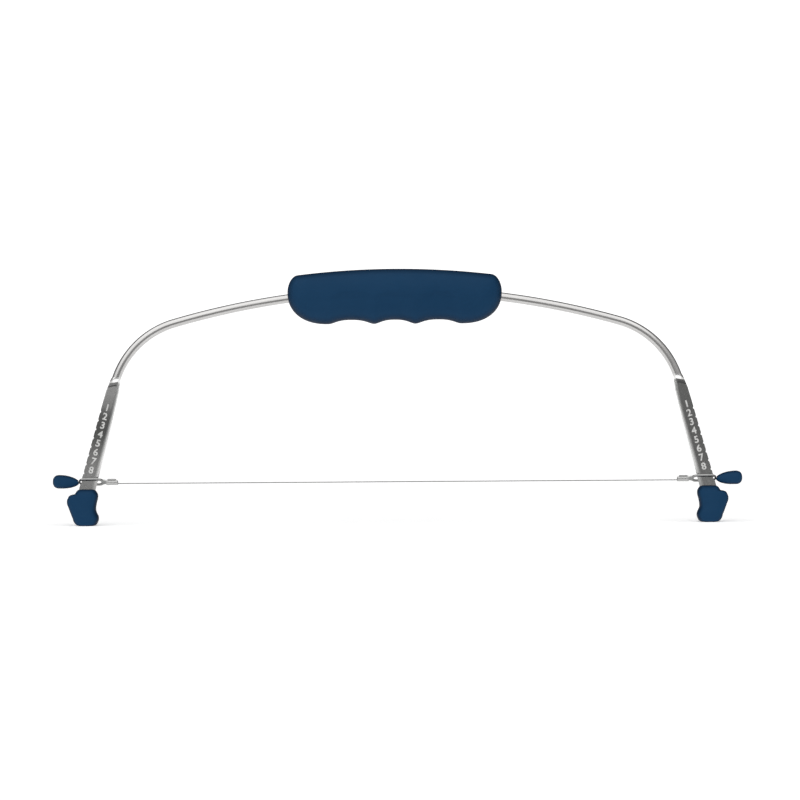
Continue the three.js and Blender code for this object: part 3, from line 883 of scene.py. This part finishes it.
def arc(cx, cy, radius, start, end, count):
    angles = [mix(start, end, i / count) for i in range(count + 1)]
    return [(cx + radius * math.cos(angle), cy + radius * math.sin(angle)) for angle in angles]


def sheet_from(outlines, thickness, bevel):
    """A mesh of sheet metal from flat outlines, the first outside and any others holes in it."""
    curve = bpy.data.curves.new("sheet", "CURVE")
    curve.dimensions = "2D"
    curve.fill_mode = "BOTH"
    curve.extrude = thickness / 2 - bevel
    curve.bevel_depth = bevel
    curve.bevel_resolution = 2
    for outline in outlines:
        spline = curve.splines.new("POLY")
        spline.points.add(len(outline) - 1)
        for point, (x, y) in zip(spline.points, outline):
            point.co = (x, y, 0, 1)
        spline.use_cyclic_u = True
    holder = bpy.data.objects.new("sheet", curve)
    bpy.context.scene.collection.objects.link(holder)
    bpy.context.view_layer.update()
    mesh = evaluated_mesh(holder)
    bpy.data.objects.remove(holder)
    return mesh


def stamping_outline():
    """Neck, slotted ring and tail in one outline, x outwards and y across."""
    start, end = SLOT_INNER - RING_BAR, SLOT_OUTER + RING_END
    arc_y = SLOT_HALF + RING_BAR - RING_CORNER
    start_x, end_x = start + RING_CORNER, end - RING_CORNER
    neck_meets = math.asin((NECK_HALF - arc_y) / RING_CORNER)
    tail_meets = math.asin((TAIL_HALF - arc_y) / RING_CORNER)
    outline = [(NECK_START, -NECK_NARROWED)]
    outline += arc(start_x, -arc_y, RING_CORNER, 2 * QUARTER + neck_meets, 3 * QUARTER, RING_ARC_STEPS)
    outline += arc(end_x, -arc_y, RING_CORNER, -QUARTER, -tail_meets, RING_ARC_STEPS)
    outline += [(TAIL_END, -TAIL_HALF), (TAIL_END, TAIL_HALF)]
    outline += arc(end_x, arc_y, RING_CORNER, tail_meets, QUARTER, RING_ARC_STEPS)
    outline += arc(start_x, arc_y, RING_CORNER, QUARTER, 2 * QUARTER - neck_meets, RING_ARC_STEPS)
    outline.append((NECK_START, NECK_NARROWED))
    return outline


def slot_outline():
    arc_y = SLOT_HALF - SLOT_CORNER
    start_x, end_x = SLOT_INNER + SLOT_CORNER, SLOT_OUTER - SLOT_CORNER
    outline = arc(end_x, -arc_y, SLOT_CORNER, -QUARTER, 0, SLOT_ARC_STEPS)
    outline += arc(end_x, arc_y, SLOT_CORNER, 0, QUARTER, SLOT_ARC_STEPS)
    outline += arc(start_x, arc_y, SLOT_CORNER, QUARTER, 2 * QUARTER, SLOT_ARC_STEPS)
    outline += arc(start_x, -arc_y, SLOT_CORNER, 2 * QUARTER, 3 * QUARTER, SLOT_ARC_STEPS)
    return outline


BARREL_START = 144 * MM
BARREL_LENGTH = 5.9 * MM
BARREL_HALF = (1.1 * MM, 1.2 * MM)  # to the middle of its wall, across and up
BARREL_DROP = 0.2 * MM
BARREL_WALL = 0.42 * MM
BARREL_EDGE = BARREL_WALL * 0.3
BARREL_ROUNDNESS = 0.8  # below 1, its section is squarer than an ellipse
BARREL_TURNS = (math.radians(128), math.radians(502))  # the wing's edge ends on the upper front
BARREL_STATIONS = 72
WING_LIFT = BARREL_WALL * 1.15  # how far the wing lies outside the wall under it
WING_SET_IN = 1.0 * MM  # how much the wing is narrower at its end, on the wire's side
WING_SET_IN_NECK = 0.6  # and the share of that on the neck's side
WING_TAPER = (QUARTER * 4.2, QUARTER * 4.7)


def barrel_mesh():
    """A strip folded round the wire: its outer wing is narrower and overlaps where the strip began."""
    first, last = BARREL_TURNS
    half, edge = BARREL_WALL / 2, BARREL_EDGE
    rings = []
    for i in range(BARREL_STATIONS + 1):
        turn = mix(first, last, i / BARREL_STATIONS)
        grown = WING_LIFT * smooth(QUARTER * 4, last, turn)
        across = squared(math.cos(turn), BARREL_ROUNDNESS) * (BARREL_HALF[0] + grown)
        up = squared(math.sin(turn), BARREL_ROUNDNESS) * (BARREL_HALF[1] + grown)
        out = Vector((0, math.cos(turn), math.sin(turn)))
        middle = Vector((0, across, up - BARREL_DROP))
        inset = WING_SET_IN * smooth(*WING_TAPER, turn)
        low, high = BARREL_START + inset, BARREL_START + BARREL_LENGTH - inset * WING_SET_IN_NECK
        section = [
            (low, half - edge), (low + edge, half), (high - edge, half), (high, half - edge),
            (high, edge - half), (high - edge, -half), (low + edge, -half), (low, edge - half),
        ]
        rings.append([middle + out * away + Vector((x, 0, 0)) for x, away in section])
    return new_mesh("barrel", *loft(rings))


def clip_mesh():
    """The right clip at rest."""
    stamping = sheet_from([stamping_outline(), slot_outline()], SHEET, SHEET_ROUND)
    stamping.transform(Matrix.Rotation(-CLIP_TILT, 4, "X"))
    whole = bmesh.new()
    whole.from_mesh(stamping)
    whole.from_mesh(barrel_mesh())
    mesh = bpy.data.meshes.new("clip")
    whole.to_mesh(mesh)
    whole.free()
    mesh.transform(Matrix.Translation((0, 0, CLIP_Z)))
    return mesh


GRIP_TIP_RADIUS = 1.25 * MM
GRIP_DROOP = 0.5 * MM  # its tip lies lower than its middle
GRIP_SWELL = 9.6 * MM
GRIP_END = 3.6 * MM
GRIP_END_SQUARENESS = 2.6
GRIP_SWELL_POWER = 0.55
GRIP_LEAST = 0.01  # share of its radius at both ends
GRIP_STATIONS = 72
GRIP_SIDES = 56


def grip_mesh():
    """The right grip at rest: a bead with its point towards the arm."""
    low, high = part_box("right_grip")
    length, radius, middle = high.x - low.x, (high.z - low.z) / 2, (high.z + low.z) / 2
    rings = []
    for share in end_to_end(GRIP_STATIONS):
        along = length * share
        short = max(0.0, 1 - along / GRIP_SWELL)
        late = max(0.0, along - (length - GRIP_END)) / GRIP_END
        size = radius * (1 - short ** 2) ** GRIP_SWELL_POWER
        size *= max(0.0, 1 - late ** GRIP_END_SQUARENESS) ** (1 / GRIP_END_SQUARENESS)
        tip = GRIP_TIP_RADIUS * (1 - clamp01(1 - along / GRIP_TIP_RADIUS) ** 2) ** 0.5
        size = max(size, tip if late == 0 else 0, GRIP_LEAST * radius)
        droop = GRIP_DROOP * short
        rings.append([
            Vector((low.x + along, size * math.cos(a), middle - droop + size * math.sin(a)))
            for a in circle(GRIP_SIDES)
        ])
    return new_mesh("grip", *loft(rings))


def wire_ends():
    clip, grip = clip_mesh(), grip_mesh()
    for side, name in ((-1, "left"), (1, "right")):
        shape = mirror_mesh(clip) if side < 0 else clip.copy()
        stamping = finished(name + "_clip_stamping", shape, name + "_end", STAMPED, sharp=40)
        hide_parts(name + "_clip")
        shape = mirror_mesh(grip) if side < 0 else grip.copy()
        bead = finished(name + "_grip_bead", shape, name + "_end", NAVY, sharp=60)
        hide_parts(name + "_grip")


# ---- stage --------------------------------------------------------------------------------------

# Brightness around the object by the height of the direction, -1 straight down and 1 straight up
FRONT_LIGHT = [(-0.3, 0.52), (0.0, 0.51), (0.18, 0.54), (0.42, 0.62), (0.8, 0.82), (1.0, 0.72)]
REAR_LIGHT = [(-0.3, 0.2), (0.0, 0.2), (0.6, 0.12), (0.96, 0.12), (0.99, 0.5), (1.0, 0.72)]
SIDE_LIGHT = ((-0.2, 1.0), (0.2, 0.88))  # (x, strength) on the left and on the right
FRONT_MEETS_REAR = 0.25
BACKDROP = 0.6  # times TOP_GREY it is past white, so the camera sees plain white


def studio():
    """White to the camera. To the object: bright overhead and in front of it, dark at its own height."""
    world = bpy.data.worlds.new("studio")
    n = Nodes("studio", world)
    direction = n.add("TexCoord").outputs["Generated"]
    x, y, z = n.add("SeparateXYZ", Vector=direction).outputs
    front = n.ramp(y, (FRONT_MEETS_REAR, 0.0), (-FRONT_MEETS_REAR, 1.0))
    around = n.blend(front.outputs[0], n.stops(z, REAR_LIGHT), n.stops(z, FRONT_LIGHT))
    side = n.ramp(x, *SIDE_LIGHT)
    lit = n.add("VectorMath", {"operation": "SCALE"})
    n.feed(lit.inputs[0], around)
    n.feed(lit.inputs["Scale"], side.outputs[0])
    seen = n.add("LightPath").outputs["Is Camera Ray"]
    n.set(Color=n.blend(seen, lit.outputs[0], colour(BACKDROP, BACKDROP, BACKDROP)), Strength=TOP_GREY)
    bpy.context.scene.world = world


FLOOR_REACH = 6.0
FLOOR_GREY = 0.97
FLOOR_GLOW = 0.35
FLAG_START = -120 * MM  # a darker card on the floor in front, which only reflections show
FLAG_LIFT = 0.3 * MM
FLAG_GREY = 0.43
LAMP_ENERGY = 1.4
LAMP_SPREAD = math.radians(100)
LAMP_TILT = (math.radians(34), math.radians(-12), 0)  # it shines from above, the front and the left


def flat_stage(name, low_y, high_y, z, grey, glow=0.0):
    """A level surface as wide as the floor, between two values of y."""
    finish = Nodes(name)
    finish.set(Base_Color=colour(grey, grey, grey), Roughness=0.7, Specular_IOR_Level=0.05)
    finish.set(Emission_Color=colour(1.0, 1.0, 1.0), Emission_Strength=glow)
    corners = [
        (-FLOOR_REACH, low_y, z),
        (FLOOR_REACH, low_y, z),
        (FLOOR_REACH, high_y, z),
        (-FLOOR_REACH, high_y, z),
    ]
    made = mesh_object(name, corners, [(0, 1, 2, 3)])
    made.data.materials.append(finish.material)
    return made


def stage():
    flat_stage("floor", -FLOOR_REACH, FLOOR_REACH, 0, FLOOR_GREY, FLOOR_GLOW)
    flag = flat_stage("flag", -FLOOR_REACH, FLAG_START, FLAG_LIFT, FLAG_GREY)
    flag.visible_camera = False
    flag.visible_diffuse = False
    flag.visible_shadow = False
    light = bpy.data.lights.new("overhead", "SUN")
    light.energy = LAMP_ENERGY
    light.angle = LAMP_SPREAD
    lamp = bpy.data.objects.new("overhead", light)
    lamp.rotation_euler = LAMP_TILT
    bpy.context.scene.collection.objects.link(lamp)


PIXEL = 0.515 * MM
PHOTO_FLOOR = 523.6  # the row of the feet's soles
PHOTO_MIDDLE = 397.0  # the column of the object's middle
PHOTO_CENTRE = 400
ROLL = math.radians(0.38)
LENS = 85.0
SENSOR = 36.0
CLIP_RANGE = (0.01, 50)


def camera():
    width = 2 * PHOTO_CENTRE * PIXEL
    distance = width * LENS / SENSOR
    made = bpy.data.cameras.new("camera")
    made.lens = LENS
    made.sensor_width = SENSOR
    made.dof.use_dof = False
    made.clip_start, made.clip_end = CLIP_RANGE
    view = bpy.data.objects.new("camera", made)
    aim = Vector(((PHOTO_CENTRE - PHOTO_MIDDLE) * PIXEL, 0, (PHOTO_FLOOR - PHOTO_CENTRE) * PIXEL))
    view.matrix_world = (
        Matrix.Translation(aim + Vector((0, -distance, 0)))
        @ Matrix.Rotation(math.pi / 2, 4, "X")
        @ Matrix.Rotation(-ROLL, 4, "Z")
    )
    bpy.context.scene.collection.objects.link(view)
    bpy.context.scene.camera = view


bow_rod()
handle_shell("handle_front", "handle_front_shell", 1)
handle_shell("handle_rear", "handle_rear_shell", -1)
feet()
cutting_wire()
wire_ends()
studio()
stage()
camera()
bpy.context.scene.view_settings.view_transform = "Standard"
